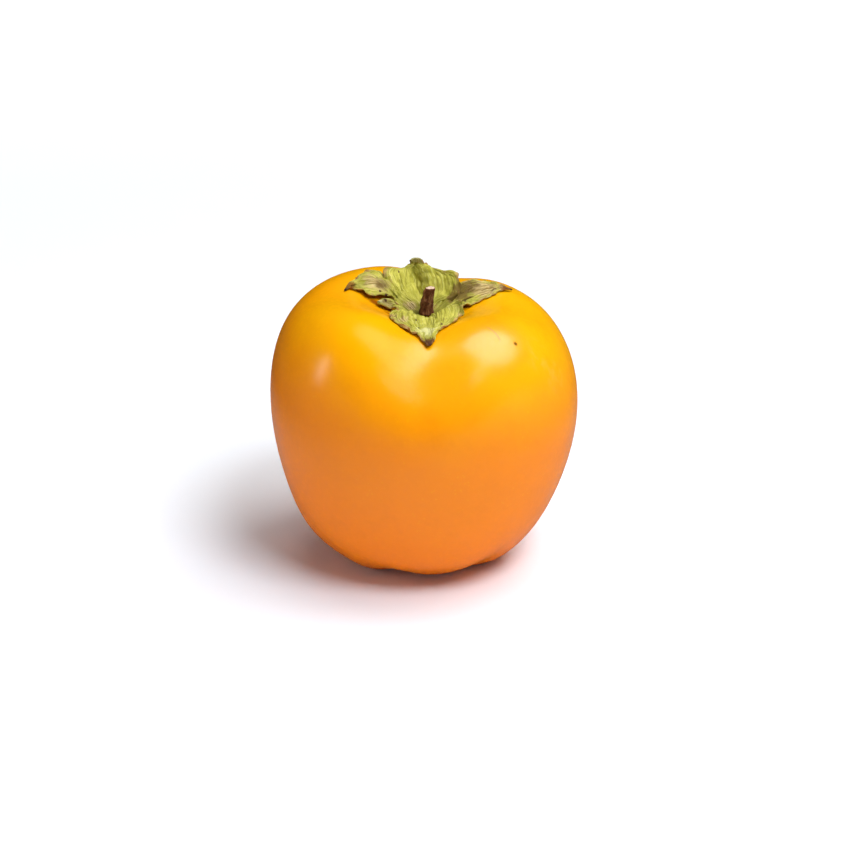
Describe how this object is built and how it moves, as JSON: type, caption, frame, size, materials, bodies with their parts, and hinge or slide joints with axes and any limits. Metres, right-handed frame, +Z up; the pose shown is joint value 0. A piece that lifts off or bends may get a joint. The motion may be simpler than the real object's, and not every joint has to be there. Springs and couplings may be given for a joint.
{
  "type": "persimmon",
  "caption": "Whole ripe persimmon standing on its blossom end, broad-shouldered and tapering down, with a dried four-lobed calyx and a short cut stalk on top.",
  "frame": {"origin": "on the surface the fruit rests on, under the middle of its box", "axes": "+Z up along the fruit's core from blossom end to calyx, -Y towards the side with the calyx's broad front lobe"},
  "size_m": [0.078, 0.0785, 0.0764],
  "materials": {
    "fruit_skin": "satin",
    "dry_leaf": "matte",
    "stalk_bark": "matte",
    "dry_style": "matte"
  },
  "bodies": {
    "root": {"fruit": "fruit_skin", "calyx_disc": "dry_leaf", "sepal_front": "dry_leaf", "sepal_right": "dry_leaf", "sepal_back": "dry_leaf", "sepal_left": "dry_leaf", "stem": "stalk_bark", "style_tip": "dry_style"}
  },
  "joints": []
}
